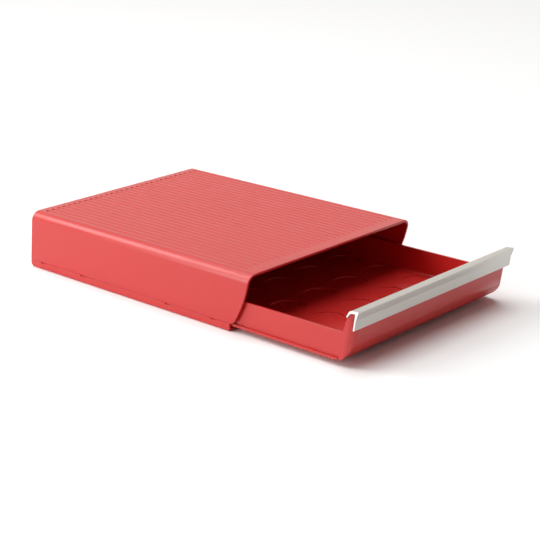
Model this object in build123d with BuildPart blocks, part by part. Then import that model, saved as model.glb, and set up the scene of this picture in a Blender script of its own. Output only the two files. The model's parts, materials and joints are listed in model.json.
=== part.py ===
"""Coffee pod drawer: a ribbed sleeve on a snap-in base, with a sliding tray behind a metal-capped front.

Millimetres. +X right, +Y back, +Z up. The drawer opens towards -Y and stands partly open.
The origin is on the counter, under the middle of the whole drawer as it stands open.
"""

import os
from math import cos, hypot, radians, sin, sqrt, tan

from build123d import *

# Sleeve
sleeve_width = 262.0
sleeve_height = 64.5  # from the base's underside
sleeve_wall = 2.2
top_wall = 2.6
crown_radius = 10.0  # the two long rounded edges
front_overhang = 27.0  # how far the top stands before the base
front_toe = 4.4  # the same at the seam, before its corner is rounded
front_bulge = 3.45  # sagitta of the side walls' front edges
toe_radius = 8.0
edge_radius = 0.7  # of the sleeve's front edge
rear_rake = 5.9  # degrees off upright

# Grooves along the sleeve's top
groove_pitch = 8.05
groove_width = 4.8
groove_depth = 0.6
groove_front_margin = 14.5
groove_rear_margin = 8.5

# Base
base_length = 309.2
rim_height = 7.8
floor_wall = 2.0
heel_radius = 4.5
glide_width = 4.3
glide_height = 2.6
rib_wall = 1.6
rib_height = 1.5
rib_spacing = 45.0
rib_end_gap = 14.0

# Snap tongues on the sleeve, in pockets of the base's rim
tongue_pitch = 66.4
tongue_length = 6.8
tongue_wall = 1.0
tongue_reach = 4.2
tongue_gap = 0.1
notch_length = 7.4
notch_height = 1.5
latch_length = 3.6
latch_height = 1.2
latch_proud = 0.7
latch_rise = 1.0  # from the tongue's tip

# Rubber feet
foot_radius = 7.0
foot_thickness = 2.0
foot_proud = 0.8
foot_gap = 0.2
foot_inset_side = 19.0
foot_inset_end = 19.0
boss_wall = 1.8
boss_height = 1.0

# Drawer travel, running gaps and stops
drawer_open = 124.0  # as it stands
drawer_stroke = 248.0
side_gap = 0.5
lift_gap = 0.3
keeper_depth = 1.7
keeper_height = 1.8
stop_gap = 0.3
stop_width = 30.0
stop_wall = 2.4
stop_spacing = 170.0
stop_height = 2.2
stop_lead = 8.0

# Tray
tray_wall = 2.0
tray_floor = 2.0
tray_height = 29.0
tray_rear_gap = 5.0  # to the sleeve's back wall, with the drawer shut
tray_rear_radius = 7.0
tray_foot_radius = 3.0
tray_sweep = 14.0
runner_width = 2.0
runner_height = 2.6
runner_lead = 1.7  # how far its front end's underside rises with the tray's foot

# Seats for the pods: a shallow round recess under each
seat_pitch_x = 51.3
seat_pitch_y = 53.0
seat_radius = 19.2
seat_depth = 0.8
seat_lead = 9.0  # the first row, behind the base's front end

# Drawer front: a hollow moulding with rounded ends
front_wall = 2.2
front_return = 1.6
front_ledge = 2.0
front_lean = 9.0  # degrees, leaning out at the top
front_sweep = 36.3  # radius of its swept foot
front_foot = 15.8  # its lower edge, before the base with the drawer shut
front_foot_slope = 34.0  # degrees off level, where the sweep meets that edge
front_end_radius = 9.0
front_return_depth = 10.0
front_return_foot = 0.9  # how far it ends behind the front's lower edge
front_return_bulge = 1.7
front_gap = 0.1

# Handle strip: a drawn profile over the front's top edge, with a heavy nose to pull on
strip_sheet = 1.6  # its flange
strip_overhang = 2.0  # past each end of the front
strip_foot = 40.1  # height of its lower edge
strip_knee = 51.0  # where the nose starts
strip_inside = 57.2  # height inside, at the face
strip_nose = 3.5  # how far the nose stands out from the face
strip_crown = 2.9  # thickness over the face
strip_taper = 0.7  # how much thinner it is at the back
strip_nose_radius = 1.0
strip_knee_radius = 5.0
strip_depth = 5.6
strip_fall = 0.2
strip_lip_run = 4.2
strip_lip_drop = 5.6
strip_lip_sheet = 1.2
strip_crown_radius = 5.0

# Lengthwise profiles give the distance behind the base's front end, with the drawer shut,
# and the height above the base's underside.
half_width = sleeve_width / 2
inner_half = half_width - sleeve_wall
tray_bottom = floor_wall + glide_height + lift_gap
tray_top = tray_bottom + tray_height
tray_half = inner_half - side_gap - runner_width
hollow_half = tray_half + front_gap
front_half = hollow_half + front_return
lean = radians(front_lean)
sweep_y = -front_foot + front_sweep * sin(radians(front_foot_slope))
sweep_z = tray_bottom + front_sweep * cos(radians(front_foot_slope))


def on_sweep(radius, degrees_round):
    """A point on a circle about the sweep's centre, that far round from straight down to the front."""
    turn = radians(degrees_round)
    return (sweep_y - radius * sin(turn), sweep_z - radius * cos(turn))


def sweep_at(radius, height):
    """The front point of a circle about the sweep's centre at a height."""
    return (sweep_y - sqrt(radius**2 - (sweep_z - height) ** 2), height)


face_start = on_sweep(front_sweep, 90 - front_lean)


def face_y(height):
    """The drawer front's straight face at a height."""
    return face_start[0] - (height - face_start[1]) * tan(lean)


def rear_y(height):
    """The raked back of the sleeve and base at a height."""
    return base_length - height * tan(radians(rear_rake))


def meets_face(start, end, setback):
    """Where the line from start to end meets a line that lies a setback behind the face."""
    before = start[0] - face_y(start[1]) - setback
    after = end[0] - face_y(end[1]) - setback
    share = before / (before - after)
    return (start[0] + share * (end[0] - start[0]), start[1] + share * (end[1] - start[1]))


def sweep_meets_face(radius, setback):
    """Where a circle about the sweep's centre meets a line that lies a setback behind the face."""
    near = front_sweep - setback * cos(lean)
    down = sqrt(radius**2 - near**2)
    return (sweep_y - near * cos(lean) + down * sin(lean), sweep_z - near * sin(lean) - down * cos(lean))


# Inside of the handle strip, from the face back to its lip
inside_front = (face_y(strip_inside), strip_inside)
inside_rear = (inside_front[0] + strip_depth, strip_inside - strip_fall)
lip_end = (inside_rear[0] + strip_lip_run, inside_rear[1] - strip_lip_drop)
strip_top = strip_inside + strip_crown
nose = (face_y(strip_top) - strip_nose, strip_top)
wall_outside = lip_end[0] - face_y(lip_end[1]) - tray_wall  # from the face to the tray's front wall
wall_inside = wall_outside + tray_wall

drawer_reach = drawer_open - nose[0]  # of the handle strip before the base
base_front = (drawer_reach - base_length) / 2
base_bottom = foot_proud
base_middle = base_front + base_length / 2
drawer_front = base_front - drawer_open
tray_rear = rear_y(tray_top) - sleeve_wall - tray_rear_gap

case_side = Plane(origin=(0, base_front, base_bottom), x_dir=(0, 1, 0), z_dir=(1, 0, 0))
drawer_side = Plane(origin=(0, drawer_front, base_bottom), x_dir=(0, 1, 0), z_dir=(1, 0, 0))


def across(front):
    """Plane of a crosswise profile that is pushed backwards: heights are from the base's underside."""
    return Plane(origin=(0, front, base_bottom), x_dir=(-1, 0, 0), z_dir=(0, 1, 0))


def level(height):
    """A horizontal plane at a height above the base's underside."""
    return Plane.XY.offset(base_bottom + height)


# ---- Sleeve ----
with BuildPart() as sleeve_cavity:
    with BuildSketch(across(base_front - 2 * front_overhang)) as cavity_section:
        Rectangle(2 * inner_half, sleeve_height - top_wall, align=(Align.CENTER, Align.MIN))
        fillet(cavity_section.vertices().group_by(Axis.Y)[-1], crown_radius - sleeve_wall)
    extrude(amount=base_length + 2 * front_overhang)
    with BuildSketch(case_side):
        Polygon(
            (-2 * front_overhang, 0),
            (rear_y(0) - sleeve_wall, 0),
            (rear_y(sleeve_height) - sleeve_wall, sleeve_height),
            (-2 * front_overhang, sleeve_height),
            align=None,
        )
    extrude(amount=half_width, both=True, mode=Mode.INTERSECT)

# A groove is a shallow round-bottomed channel with rounded ends
groove_radius = (groove_width**2 / 4 + groove_depth**2) / (2 * groove_depth)
groove_start = -front_overhang + groove_front_margin
groove_end = rear_y(sleeve_height) - groove_rear_margin
groove_run = groove_end - groove_start - groove_width
groove_count = 1 + int((sleeve_width - 2 * crown_radius - groove_width) / groove_pitch)

with BuildPart() as groove_cutter:
    with BuildSketch(Plane.XZ):
        Circle(groove_radius)
    extrude(amount=groove_run, both=True)
    with BuildSketch():
        SlotCenterToCenter(groove_run, groove_width, rotation=90)
    extrude(amount=groove_radius, both=True, mode=Mode.INTERSECT)

tongue_places = [
    (side * (inner_half + tongue_wall / 2), base_middle + step * tongue_pitch)
    for side in (-1, 1)
    for step in (-2, -1, 1, 2)
]
latch_low = rim_height - tongue_reach + latch_rise

with BuildPart() as sleeve:
    with BuildSketch(across(base_front - front_overhang)) as sleeve_section:
        with Locations((0, rim_height)):
            Rectangle(sleeve_width, sleeve_height - rim_height, align=(Align.CENTER, Align.MIN))
        fillet(sleeve_section.vertices().group_by(Axis.Y)[-1], crown_radius)
    extrude(amount=base_length + front_overhang)
    with BuildSketch(case_side) as sleeve_side:
        top_front = (-front_overhang, sleeve_height)
        low_front = (-front_toe, rim_height)
        with BuildLine():
            SagittaArc(top_front, low_front, -front_bulge)
            Polyline(
                low_front,
                (rear_y(rim_height), rim_height),
                (rear_y(sleeve_height), sleeve_height),
                top_front,
            )
        make_face()
        fillet(sleeve_side.vertices().sort_by_distance(low_front)[0], toe_radius)
    extrude(amount=half_width, both=True, mode=Mode.INTERSECT)
    mouth = sleeve.edges().filter_by_position(Axis.Y, base_front - front_overhang, base_front)
    toe_line = mouth.filter_by(Axis.X).sort_by(Axis.Z)[0]
    fillet(mouth.filter_by(lambda edge: edge != toe_line), edge_radius)
    add(sleeve_cavity.part, mode=Mode.SUBTRACT)
    with Locations(
        (0, base_front + (groove_start + groove_end) / 2, base_bottom + sleeve_height - groove_depth + groove_radius)
    ):
        with GridLocations(groove_pitch, 0, groove_count, 1):
            add(groove_cutter.part, mode=Mode.SUBTRACT)
    # Keepers over the drawer's runners, so that the open drawer can't tip
    with BuildSketch(across(base_front + front_toe)):
        for side in (-1, 1):
            with Locations((side * (inner_half - keeper_depth / 2), tray_bottom + runner_height + lift_gap)):
                Rectangle(keeper_depth, keeper_height, align=(Align.CENTER, Align.MIN))
    extrude(amount=base_length - front_toe - 2 * sleeve_wall)
    # Tongues, each with a window for its latch
    with BuildSketch(level(rim_height - tongue_reach)):
        with Locations(*tongue_places):
            Rectangle(tongue_wall, tongue_length)
    extrude(amount=tongue_reach + tongue_wall)
    with BuildSketch(level(latch_low - tongue_gap)):
        with Locations(*tongue_places):
            Rectangle(2 * tongue_wall, latch_length + 2 * tongue_gap)
    extrude(amount=latch_height + 2 * tongue_gap, mode=Mode.SUBTRACT)

# ---- Base ----
foot_places = [
    (side * (half_width - foot_inset_side), base_middle + end * (base_length / 2 - foot_inset_end))
    for end in (-1, 1)
    for side in (-1, 1)
]
foot_recess = foot_thickness - foot_proud

with BuildPart() as base_panel:
    with BuildSketch(case_side) as base_side:
        Polygon((0, 0), (rear_y(0), 0), (rear_y(rim_height), rim_height), (0, rim_height), align=None)
        fillet(base_side.vertices().sort_by_distance((rear_y(0), 0))[0], heel_radius)
    extrude(amount=half_width, both=True)
    with BuildSketch(case_side):
        Polygon(
            (-1, floor_wall),
            (rear_y(floor_wall) - sleeve_wall, floor_wall),
            (rear_y(sleeve_height) - sleeve_wall, sleeve_height),
            (-1, sleeve_height),
            align=None,
        )
    extrude(amount=inner_half, both=True, mode=Mode.SUBTRACT)
    # Glides under the drawer's sides, and low stiffening ribs between them
    with BuildSketch(level(floor_wall)):
        for side in (-1, 1):
            with Locations((side * (inner_half - glide_width / 2), base_front + front_toe)):
                Rectangle(glide_width, base_length - front_toe - 2 * sleeve_wall, align=(Align.CENTER, Align.MIN))
    extrude(amount=glide_height)
    with BuildSketch(level(floor_wall)):
        with GridLocations(rib_spacing, 0, 3, 1):
            with Locations((0, base_middle)):
                Rectangle(rib_wall, base_length - 2 * rib_end_gap)
    extrude(amount=rib_height)
    with BuildSketch(level(floor_wall)):
        with Locations((0, base_front + stop_lead)):
            with GridLocations(stop_spacing, 0, 2, 1):
                Rectangle(stop_width, stop_wall, align=(Align.CENTER, Align.MIN))
    extrude(amount=stop_height)
    # Bosses over the feet's recesses
    with BuildSketch(level(floor_wall)):
        with Locations(*foot_places):
            Circle(foot_radius + boss_wall)
    extrude(amount=boss_height)
    with BuildSketch(level(0)):
        with Locations(*foot_places):
            Circle(foot_radius + foot_gap)
    extrude(amount=foot_recess, mode=Mode.SUBTRACT)
    # Pockets for the tongues, with a notch above each at the seam and a latch inside
    pocket_wall = tongue_wall + tongue_gap
    with BuildSketch(level(rim_height - tongue_reach - tongue_gap)):
        for place in tongue_places:
            side = 1 if place[0] > 0 else -1
            with Locations((side * (inner_half + pocket_wall / 2), place[1])):
                Rectangle(pocket_wall, notch_length)
    extrude(amount=tongue_reach + tongue_gap, mode=Mode.SUBTRACT)
    with BuildSketch(level(rim_height - notch_height)):
        for place in tongue_places:
            side = 1 if place[0] > 0 else -1
            with Locations((side * half_width, place[1])):
                Rectangle(2 * (sleeve_wall - pocket_wall), notch_length)
    extrude(amount=notch_height, mode=Mode.SUBTRACT)
    with BuildSketch(level(latch_low)):
        for place in tongue_places:
            side = 1 if place[0] > 0 else -1
            with Locations((side * (inner_half + pocket_wall - latch_proud / 2), place[1])):
                Rectangle(latch_proud, latch_length)
    extrude(amount=latch_height)

# ---- Feet ----
foot_names = ("front_left", "front_right", "rear_left", "rear_right")
feet = {}
for foot_name, foot_place in zip(foot_names, foot_places):
    with BuildPart() as foot:
        with BuildSketch(level(-foot_proud)):
            with Locations(foot_place):
                Circle(foot_radius)
        extrude(amount=foot_thickness)
    foot.part.label = "foot_" + foot_name
    feet[foot_name] = foot.part

# ---- Tray and drawer front: shared shapes ----
# Square to the straight face at the sleeve's height: X is mirrored and Y goes in from the face
face_top = Plane(
    origin=(0, drawer_front + face_y(sleeve_height), base_bottom + sleeve_height),
    x_dir=(-1, 0, 0),
    z_dir=(0, sin(lean), -cos(lean)),
)


def end_corners(half, setback, radius):
    """What to cut off a body's square front ends, to round them in line with its straight face."""
    depth = setback + radius
    with BuildPart() as corners:
        with BuildSketch(face_top):
            for side in (-1, 1):
                start = side * (half - radius)
                edge = side * half
                with BuildLine():
                    Polyline((edge, depth), (edge + side * 3, depth), (edge + side * 3, -12), (start, -12))
                    Line((start, -12), (start, setback))
                    RadiusArc((start, setback), (edge, depth), -side * radius)
                make_face()
        extrude(amount=2 * sleeve_height)
    return corners.part


# ---- Tray ----
nest_radius = front_sweep - front_wall - front_gap  # the tray's foot inside the front's sweep
wall_peak = meets_face(inside_rear, lip_end, wall_outside)
tray_corners = end_corners(tray_half, front_wall + front_gap, front_end_radius - front_wall)

with BuildPart() as tray_cavity:
    with BuildSketch(drawer_side) as tray_inside:
        floor_level = tray_bottom + tray_floor
        floor_front = (face_y(floor_level) + wall_inside, floor_level)
        Polygon(
            floor_front,
            (tray_rear - tray_wall, floor_level),
            (tray_rear - tray_wall, sleeve_height),
            (face_y(sleeve_height) + wall_inside, sleeve_height),
            align=None,
        )
        fillet(tray_inside.vertices().sort_by_distance(floor_front)[0], tray_sweep)
    extrude(amount=tray_half - tray_wall, both=True)
    fillet(tray_cavity.edges().filter_by(Axis.Z).group_by(Axis.Y)[-1], tray_rear_radius - tray_wall)
    fillet(tray_cavity.edges().group_by(Axis.Z)[0].sort_by(Axis.Y)[1:], tray_foot_radius)

with BuildPart() as drawer_tray:
    with BuildSketch(drawer_side) as tray_side:
        with BuildLine():
            nest_start = sweep_at(nest_radius, tray_bottom)
            nest_end = sweep_meets_face(nest_radius, wall_outside)
            Line((tray_rear, tray_bottom), nest_start)
            RadiusArc(nest_start, nest_end, nest_radius)
            Polyline(
                nest_end,
                wall_peak,
                lip_end,
                (face_y(tray_top) + wall_inside, tray_top),
                (tray_rear, tray_top),
                (tray_rear, tray_bottom),
            )
        make_face()
    extrude(amount=tray_half, both=True)
    add(tray_corners, mode=Mode.SUBTRACT)
    fillet(drawer_tray.edges().filter_by(Axis.Z).group_by(Axis.Y)[-1], tray_rear_radius)
    add(tray_cavity.part, mode=Mode.SUBTRACT)
    # Runners along the sides
    runner_front = sweep_at(nest_radius, tray_bottom + runner_lead)
    for side in (-1, 1):
        with BuildSketch(drawer_side.offset(side * (tray_half - tray_wall / 2))):
            Polygon(
                nest_start,
                runner_front,
                (runner_front[0], tray_bottom + runner_height),
                (tray_rear - tray_rear_radius, tray_bottom + runner_height),
                (tray_rear - tray_rear_radius, tray_bottom),
                align=None,
            )
        extrude(amount=side * (tray_wall / 2 + runner_width))
    # Stops under the floor that meet the base's stops
    with BuildSketch(level(tray_bottom - stop_height)):
        with Locations((0, drawer_front + stop_lead + stop_wall + drawer_stroke + stop_gap)):
            with GridLocations(stop_spacing, 0, 2, 1):
                Rectangle(stop_width, stop_wall, align=(Align.CENTER, Align.MIN))
    extrude(amount=stop_height)
    seat_columns = 1 + int(2 * (tray_half - tray_wall - seat_radius) / seat_pitch_x)
    seat_rows = 1 + int((tray_rear - tray_wall - seat_radius - seat_lead) / seat_pitch_y)
    with BuildSketch(level(floor_level - seat_depth)):
        with Locations((0, drawer_front + seat_lead + (seat_rows - 1) * seat_pitch_y / 2)):
            with GridLocations(seat_pitch_x, seat_pitch_y, seat_columns, seat_rows):
                Circle(seat_radius)
    extrude(amount=2 * seat_depth, mode=Mode.SUBTRACT)

# ---- Drawer front ----
return_top = meets_face(inside_rear, lip_end, front_return_depth)
foot_edge = (-front_foot, tray_bottom)
return_foot = (-front_foot + front_return_foot, tray_bottom)
hood_corners = end_corners(front_half, 0, front_end_radius)

with BuildPart() as front_cavity:
    with BuildSketch(drawer_side):
        with BuildLine():
            inner_radius = front_sweep - front_wall
            inner_start = on_sweep(inner_radius, 90 - front_lean)
            ledge = strip_inside - front_ledge
            Line((face_y(ledge) + front_wall / cos(lean), ledge), inner_start)
            inner_foot = sweep_at(inner_radius, tray_bottom)
            RadiusArc(inner_start, inner_foot, -inner_radius)
            Polyline(
                inner_foot,
                (inner_foot[0], 0),
                (0, 0),
                (0, ledge),
                (face_y(ledge) + front_wall / cos(lean), ledge),
            )
        make_face()
    extrude(amount=hollow_half, both=True)
    add(end_corners(hollow_half, front_wall, front_end_radius - front_wall), mode=Mode.SUBTRACT)
    # Room for the tray's own front wall
    with BuildSketch(drawer_side):
        room = wall_outside - front_gap
        Polygon(
            (face_y(tray_top) + room, tray_top),
            (face_y(sleeve_height) + room, sleeve_height),
            (0, sleeve_height),
            (0, tray_top),
            align=None,
        )
    extrude(amount=hollow_half, both=True)

with BuildPart() as drawer_hood:
    with BuildSketch(drawer_side):
        with BuildLine():
            FilletPolyline(face_start, inside_front, inside_rear, return_top, radius=(0.4, strip_crown_radius))
            SagittaArc(return_top, return_foot, front_return_bulge)
            Line(return_foot, foot_edge)
            RadiusArc(foot_edge, face_start, front_sweep)
        make_face()
    extrude(amount=front_half, both=True)
    add(hood_corners, mode=Mode.SUBTRACT)
    add(front_cavity.part, mode=Mode.SUBTRACT)

# ---- Handle strip ----
with BuildPart() as handle_strip:
    with BuildSketch(drawer_side) as strip_section:
        strip_knee_out = (face_y(strip_knee) - strip_sheet, strip_knee)
        lip_slope = hypot(strip_lip_run, strip_lip_drop)
        lip_out = (
            lip_end[0] + strip_lip_sheet * strip_lip_drop / lip_slope,
            lip_end[1] + strip_lip_sheet * strip_lip_run / lip_slope,
        )
        crown_out = (inside_rear[0] + strip_crown / 2, strip_top - strip_fall - strip_taper)
        with BuildLine():
            FilletPolyline(
                (face_y(strip_foot), strip_foot),
                inside_front,
                inside_rear,
                lip_end,
                radius=(0.3, strip_crown_radius),
            )
            Line(lip_end, lip_out)
            FilletPolyline(
                lip_out,
                crown_out,
                nose,
                strip_knee_out,
                (face_y(strip_foot) - strip_sheet, strip_foot),
                radius=(strip_crown_radius, strip_nose_radius, strip_knee_radius),
            )
            Line((face_y(strip_foot) - strip_sheet, strip_foot), (face_y(strip_foot), strip_foot))
        make_face()
    extrude(amount=front_half + strip_overhang, both=True)

os.makedirs("parts", exist_ok=True)
sleeve.part.label = "sleeve"
export_step(sleeve.part, "parts/sleeve.step")
base_panel.part.label = "base_panel"
export_step(base_panel.part, "parts/base_panel.step")
drawer_tray.part.label = "drawer_tray"
export_step(drawer_tray.part, "parts/drawer_tray.step")
drawer_hood.part.label = "drawer_front"
export_step(drawer_hood.part, "parts/drawer_front.step")
handle_strip.part.label = "handle_strip"
export_step(handle_strip.part, "parts/handle_strip.step")
for foot_name, foot_part in feet.items():
    export_step(foot_part, f"parts/foot_{foot_name}.step")
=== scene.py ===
import json
import math

import bmesh
import bpy
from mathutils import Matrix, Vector


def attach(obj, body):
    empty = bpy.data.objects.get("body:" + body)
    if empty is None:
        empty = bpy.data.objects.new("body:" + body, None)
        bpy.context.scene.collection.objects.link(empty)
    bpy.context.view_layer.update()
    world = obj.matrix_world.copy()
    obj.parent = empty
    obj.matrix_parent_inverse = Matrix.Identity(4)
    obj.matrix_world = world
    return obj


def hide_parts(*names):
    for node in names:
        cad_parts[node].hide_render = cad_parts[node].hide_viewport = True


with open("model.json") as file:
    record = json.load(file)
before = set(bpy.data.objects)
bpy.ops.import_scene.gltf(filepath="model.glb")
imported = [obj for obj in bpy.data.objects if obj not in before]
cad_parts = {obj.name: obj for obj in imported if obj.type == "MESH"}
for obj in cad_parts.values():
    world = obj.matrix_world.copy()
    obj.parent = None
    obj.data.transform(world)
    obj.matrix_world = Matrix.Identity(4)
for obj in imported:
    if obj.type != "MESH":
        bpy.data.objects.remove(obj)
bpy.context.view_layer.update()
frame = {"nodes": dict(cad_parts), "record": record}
mm = 0.001
print("frame loaded:", ", ".join(sorted(frame["nodes"])))


# colours and nodes

def linear(hexColour):
    # sRGB hex to Blender's linear RGBA
    parts = [int(hexColour[i:i + 2], 16) / 255 for i in (1, 3, 5)]
    return [c / 12.92 if c <= 0.04045 else ((c + 0.055) / 1.055) ** 2.4 for c in parts] + [1.0]


def addNode(tree, kind, settings=None, links=None):
    # settings go to the node or to its input sockets, links join its inputs to (node, output)
    node = tree.nodes.new(kind)
    for name, value in (settings or {}).items():
        if isinstance(name, str) and hasattr(node, name):
            setattr(node, name, value)
        else:
            node.inputs[name].default_value = value
    for name, (source, output) in (links or {}).items():
        tree.links.new(source.outputs[output], node.inputs[name])
    return node


# a Mix node's sockets by number, because several of them share a name
mixFactor = 0
colourFrom, colourTo, colourMixed = 6, 7, 2
valueFrom, valueTo, valueMixed = 2, 3, 0

noiseLow, noiseHigh = 0.3, 0.7  # nearly all of a noise lies between these


def startMaterial(name):
    material = bpy.data.materials.new(name)
    material.use_nodes = True
    tree = material.node_tree
    tree.nodes.clear()
    place = addNode(tree, "ShaderNodeTexCoord")
    return material, tree, place


def endMaterial(tree, shader):
    addNode(tree, "ShaderNodeOutputMaterial", links={"Surface": (shader, "BSDF")})


# ABS, injection moulded in a spark-eroded tool: a satin skin with a fine even grain,
# and a soft sheen at low angles
redAbs = {
    "colour": "#C5231F",
    "deep": "#BC1F1C",  # where the moulding took a little more pigment
    "index": 1.53,
    "haze": 0.58,  # the grained skin scatters more white than a smooth one
    "roughness": 0.34,
    "roughnessSpread": 0.03,
    "grain": 0.3 * mm,  # the eroded pits are about 0.05 mm, drawn coarser so that they show
    "grainDepth": 0.004 * mm,
    "mottle": 60 * mm,
    "flow": 18 * mm,  # faint changes of gloss where the plastic flowed
}


def makeRedAbs(name, settings):
    material, tree, place = startMaterial(name)
    mottle = addNode(
        tree, "ShaderNodeTexNoise", {"Scale": 1 / settings["mottle"], "Detail": 3.0, "Roughness": 0.5},
        {"Vector": (place, "Object")},
    )
    colour = addNode(
        tree, "ShaderNodeMix",
        {"data_type": "RGBA", colourFrom: linear(settings["colour"]), colourTo: linear(settings["deep"])},
        {mixFactor: (mottle, "Fac")},
    )
    grain = addNode(
        tree, "ShaderNodeTexNoise", {"Scale": 1 / settings["grain"], "Detail": 2.0, "Roughness": 0.6},
        {"Vector": (place, "Object")},
    )
    flow = addNode(
        tree, "ShaderNodeTexNoise", {"Scale": 1 / settings["flow"], "Detail": 4.0, "Roughness": 0.55},
        {"Vector": (place, "Object")},
    )
    sheen = addNode(
        tree, "ShaderNodeMapRange",
        {
            "From Min": noiseLow, "From Max": noiseHigh,
            "To Min": settings["roughness"] - settings["roughnessSpread"],
            "To Max": settings["roughness"] + settings["roughnessSpread"],
        },
        {"Value": (flow, "Fac")},
    )
    bump = addNode(
        tree, "ShaderNodeBump", {"Strength": 1.0, "Distance": settings["grainDepth"]},
        {"Height": (grain, "Fac")},
    )
    shader = addNode(
        tree, "ShaderNodeBsdfPrincipled",
        {"IOR": settings["index"], "Specular IOR Level": settings["haze"]},
        {"Base Color": (colour, colourMixed), "Roughness": (sheen, "Result"), "Normal": (bump, "Normal")},
    )
    endMaterial(tree, shader)
    return material


# aluminium, extruded and brushed lengthwise, then sawn to length: soft streaks along the strip,
# and a pale band at the ends, partly the bare sawn metal's lighter tone and partly a painted highlight
brushedAluminium = {
    "colour": "#C8C5C0",
    "streak": "#B4B1AC",
    # near-white end colour: the bare cut metal's own tone with a painted highlight on the ends
    "paleEndAndHighlight": "#EDEBE8",
    "roughness": 0.3,
    "streakWidth": 0.35 * mm,  # the real scratches are finer, drawn coarser so that they show
    "streakLength": 90 * mm,
    "streakDepth": 0.035 * mm,
    "paleEndDepth": 0.35 * mm,  # how far in from the strip's ends the pale band reaches, bare metal tone plus painted highlight
}


def makeBrushedAluminium(name, settings):
    material, tree, place = startMaterial(name)
    stretch = addNode(
        tree, "ShaderNodeMapping",
        {"Scale": (1 / settings["streakLength"], 1 / settings["streakWidth"], 1 / settings["streakWidth"])},
        {"Vector": (place, "Object")},
    )
    streaks = addNode(
        tree, "ShaderNodeTexNoise", {"Scale": 1.0, "Detail": 3.0, "Roughness": 0.65},
        {"Vector": (stretch, "Vector")},
    )
    brushed = addNode(
        tree, "ShaderNodeMix",
        {"data_type": "RGBA", colourFrom: linear(settings["colour"]), colourTo: linear(settings["streak"])},
        {mixFactor: (streaks, "Fac")},
    )
    stripEnd = max(abs(vertex.co.x) for vertex in frame["nodes"]["handle_strip"].data.vertices)
    axes = addNode(tree, "ShaderNodeSeparateXYZ", links={"Vector": (place, "Object")})
    outward = addNode(tree, "ShaderNodeMath", {"operation": "ABSOLUTE"}, {0: (axes, "X")})
    # mask of the strip's ends, where the pale colour is painted: part bare metal, part painted highlight
    atEnd = addNode(
        tree, "ShaderNodeMath", {"operation": "GREATER_THAN", 1: stripEnd - settings["paleEndDepth"]},
        {0: (outward, "Value")},
    )
    colour = addNode(
        tree, "ShaderNodeMix", {"data_type": "RGBA", colourTo: linear(settings["paleEndAndHighlight"])},
        {mixFactor: (atEnd, "Value"), colourFrom: (brushed, colourMixed)},
    )
    bump = addNode(
        tree, "ShaderNodeBump", {"Strength": 1.0, "Distance": settings["streakDepth"]},
        {"Height": (streaks, "Fac")},
    )
    shader = addNode(
        tree, "ShaderNodeBsdfPrincipled", {"Metallic": 1.0, "Roughness": settings["roughness"]},
        {"Base Color": (colour, colourMixed), "Normal": (bump, "Normal")},
    )
    endMaterial(tree, shader)
    return material


# thermoplastic rubber, moulded: matt and dark, with a faint dusty bloom
footRubber = {
    "colour": "#2A2A2C",
    "bloom": "#3A3A3B",
    "index": 1.5,
    "roughness": 0.82,
    "grain": 0.6 * mm,
    "grainDepth": 0.03 * mm,
}


def makeFootRubber(name, settings):
    material, tree, place = startMaterial(name)
    grain = addNode(
        tree, "ShaderNodeTexNoise", {"Scale": 1 / settings["grain"], "Detail": 4.0},
        {"Vector": (place, "Object")},
    )
    colour = addNode(
        tree, "ShaderNodeMix",
        {"data_type": "RGBA", colourFrom: linear(settings["colour"]), colourTo: linear(settings["bloom"])},
        {mixFactor: (grain, "Fac")},
    )
    bump = addNode(
        tree, "ShaderNodeBump", {"Strength": 1.0, "Distance": settings["grainDepth"]},
        {"Height": (grain, "Fac")},
    )
    shader = addNode(
        tree, "ShaderNodeBsdfPrincipled", {"Roughness": settings["roughness"], "IOR": settings["index"]},
        {"Base Color": (colour, colourMixed), "Normal": (bump, "Normal")},
    )
    endMaterial(tree, shader)
    return material


finishes = {
    "plastic": makeRedAbs("redAbsSparkEroded", redAbs),
    "aluminium": makeBrushedAluminium("aluminiumExtrusionBrushed", brushedAluminium),
    "rubber": makeFootRubber("footRubberMoulded", footRubber),
}
print("materials made:", ", ".join(finishes))


# dressed copies of the CAD nodes: merged, shaded smooth and with their edges eased by the width given here
dressing = {
    "sleeve": {"finish": "plastic", "ease": 0.25 * mm},
    "base_panel": {"finish": "plastic", "ease": 0.3 * mm},
    "drawer_tray": {"finish": "plastic", "ease": 0.3 * mm},
    "drawer_front": {"finish": "plastic", "ease": 0.3 * mm},
    "handle_strip": {"finish": "aluminium", "ease": 0.12 * mm},
}
for footEnd in ("front", "rear"):
    for footSide in ("left", "right"):
        dressing[f"foot_{footEnd}_{footSide}"] = {"finish": "rubber", "ease": 0.1 * mm}

weldDistance = 0.002 * mm
flatBelow = math.radians(0.3)  # faces that meet at less than this become one
sharpFrom = math.radians(32)  # edges from this angle up stay sharp and are eased
easeSegments = 2


def dressNode(nodeName, body, settings):
    source = frame["nodes"][nodeName]
    finish = finishes[settings["finish"]]
    mesh = source.data.copy()
    mesh.materials.clear()
    work = bmesh.new()
    work.from_mesh(mesh)
    bmesh.ops.remove_doubles(work, verts=work.verts, dist=weldDistance)
    bmesh.ops.dissolve_limit(
        work, angle_limit=flatBelow, verts=work.verts, edges=work.edges, use_dissolve_boundaries=False
    )
    for face in work.faces:
        face.smooth = True
    for edge in work.edges:
        edge.smooth = edge.calc_face_angle(0.0) < sharpFrom
    work.to_mesh(mesh)
    work.free()
    piece = bpy.data.objects.new(nodeName + "_dressed", mesh)
    bpy.context.scene.collection.objects.link(piece)
    mesh.materials.append(finish)
    source.data.materials.clear()
    source.data.materials.append(finish)
    ease = piece.modifiers.new("ease", "BEVEL")
    ease.width = settings["ease"]
    ease.segments = easeSegments
    ease.limit_method = "ANGLE"
    ease.angle_limit = sharpFrom
    ease.harden_normals = True
    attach(piece, body)
    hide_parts(nodeName)


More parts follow.
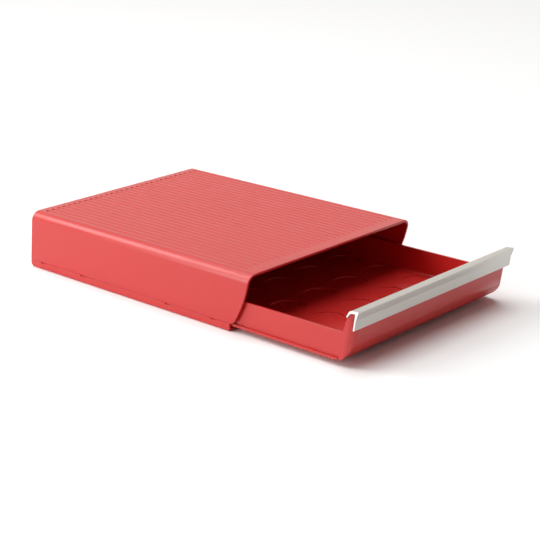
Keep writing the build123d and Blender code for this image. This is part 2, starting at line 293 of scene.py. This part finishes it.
for bodyName, members in frame["record"]["behaviour"]["bodies"].items():
    for nodeName in members:
        dressNode(nodeName, bodyName, dressing[nodeName])
print("nodes dressed:", len(dressing))


# a plain paper floor
paperFloor = {"half": 6.0, "colour": "#FFFFFF", "roughness": 0.9}


def makeFloor(name, settings):
    mesh = bpy.data.meshes.new(name)
    work = bmesh.new()
    bmesh.ops.create_grid(work, x_segments=1, y_segments=1, size=settings["half"])
    work.to_mesh(mesh)
    work.free()
    floor = bpy.data.objects.new(name, mesh)
    bpy.context.scene.collection.objects.link(floor)
    material, tree, place = startMaterial("paperSweepMatt")
    paper = addNode(
        tree, "ShaderNodeBsdfPrincipled",
        {"Base Color": linear(settings["colour"]), "Roughness": settings["roughness"]},
    )
    endMaterial(tree, paper)
    mesh.materials.append(material)


makeFloor("floor", paperFloor)
print("floor laid")


# a pale backdrop behind the object, which dims away from it and above it
studio = {
    "colour": "#FFFCF6",
    "backdropSide": (0.1, 0.95, 0.0),
    "fade": (-0.4, 0.7),  # from turned away from the backdrop to facing it
    "away": 0.06,  # strength there
    "facing": 0.95,
    "backdropTop": (0.35, 0.6),  # heights on a unit sphere between which it ends
    "above": 0.12,
    "seen": 1.0,  # white, for the camera and for what mirrors it or lets it through
}


def makeStudio(name, settings):
    world = bpy.data.worlds.new(name)
    bpy.context.scene.world = world
    world.use_nodes = True
    tree = world.node_tree
    tree.nodes.clear()
    rays = addNode(tree, "ShaderNodeLightPath")
    around = addNode(tree, "ShaderNodeTexCoord")
    side = Vector(settings["backdropSide"]).normalized()
    turned = addNode(
        tree, "ShaderNodeVectorMath", {"operation": "DOT_PRODUCT", 1: side}, {0: (around, "Generated")}
    )
    backdrop = addNode(
        tree, "ShaderNodeMapRange",
        {
            "From Min": settings["fade"][0], "From Max": settings["fade"][1],
            "To Min": settings["away"], "To Max": settings["facing"],
        },
        {"Value": (turned, "Value")},
    )
    upward = addNode(tree, "ShaderNodeSeparateXYZ", links={"Vector": (around, "Generated")})
    height = addNode(
        tree, "ShaderNodeMapRange",
        {"From Min": settings["backdropTop"][0], "From Max": settings["backdropTop"][1]},
        {"Value": (upward, "Z")},
    )
    strength = addNode(
        tree, "ShaderNodeMix", {"data_type": "FLOAT", valueTo: settings["above"]},
        {mixFactor: (height, "Result"), valueFrom: (backdrop, "Result")},
    )
    colour = linear(settings["colour"])
    lit = addNode(tree, "ShaderNodeBackground", {"Color": colour}, {"Strength": (strength, valueMixed)})
    seen = addNode(tree, "ShaderNodeBackground", {"Color": colour, "Strength": settings["seen"]})
    mirrored = addNode(
        tree, "ShaderNodeMath", {"operation": "MAXIMUM"},
        {0: (rays, "Is Glossy Ray"), 1: (rays, "Is Transmission Ray")},
    )
    shown = addNode(
        tree, "ShaderNodeMath", {"operation": "MAXIMUM"},
        {0: (rays, "Is Camera Ray"), 1: (mirrored, "Value")},
    )
    swap = addNode(tree, "ShaderNodeMixShader", links={0: (shown, "Value"), 1: (lit, 0), 2: (seen, 0)})
    addNode(tree, "ShaderNodeOutputWorld", links={"Surface": (swap, 0)})


makeStudio("studio", studio)


# soft boxes, all turned to the object: their places, diameters in metres and power in watts
softboxes = {
    "keyLight": {"place": (-1.1, 1.5, 1.6), "size": 1.5, "power": 30},
    "leftLight": {"place": (-2.3, 0.8, 0.6), "size": 1.3, "power": 23},
    "frontLight": {"place": (1.6, -1.8, 0.4), "size": 1.8, "power": 2},
}
# a broad bank overhead, far enough off to light the whole floor evenly
overhead = {"from": (0.1, 0.15, 1.0), "strength": 1.85, "spread": 45}  # spread in degrees


def addLamp(name, data, direction):
    # shines from that direction towards the object, which stands at the origin
    lamp = bpy.data.objects.new(name, data)
    bpy.context.scene.collection.objects.link(lamp)
    lamp.rotation_euler = (-Vector(direction)).to_track_quat("-Z", "Y").to_euler()
    return lamp


for lampName, softbox in softboxes.items():
    boxData = bpy.data.lights.new(lampName, "AREA")
    boxData.shape = "DISK"
    boxData.size = softbox["size"]
    boxData.energy = softbox["power"]
    addLamp(lampName, boxData, softbox["place"]).location = softbox["place"]

bankData = bpy.data.lights.new("overheadBank", "SUN")
bankData.energy = overhead["strength"]
bankData.angle = math.radians(overhead["spread"])
addLamp("overheadBank", bankData, overhead["from"])
print("lamps hung:", len(bpy.data.lights))


# the photograph's own angle
cameraSettings = {
    "place": (-1.1411, -1.0339, 0.5408),
    "looking": (0.7045, 0.6321, -0.3228),
    "lens": 99.2,  # mm
    "sensor": 36.0,  # mm
    "clipEnd": 50.0,
}


def addCamera(name, settings):
    data = bpy.data.cameras.new(name)
    data.lens = settings["lens"]
    data.sensor_width = settings["sensor"]
    data.clip_end = settings["clipEnd"]
    camera = bpy.data.objects.new(name, data)
    bpy.context.scene.collection.objects.link(camera)
    camera.location = settings["place"]
    camera.rotation_euler = Vector(settings["looking"]).to_track_quat("-Z", "Y").to_euler()
    bpy.context.scene.camera = camera


addCamera("camera", cameraSettings)
bpy.context.scene.view_settings.view_transform = "Standard"
print("camera set")
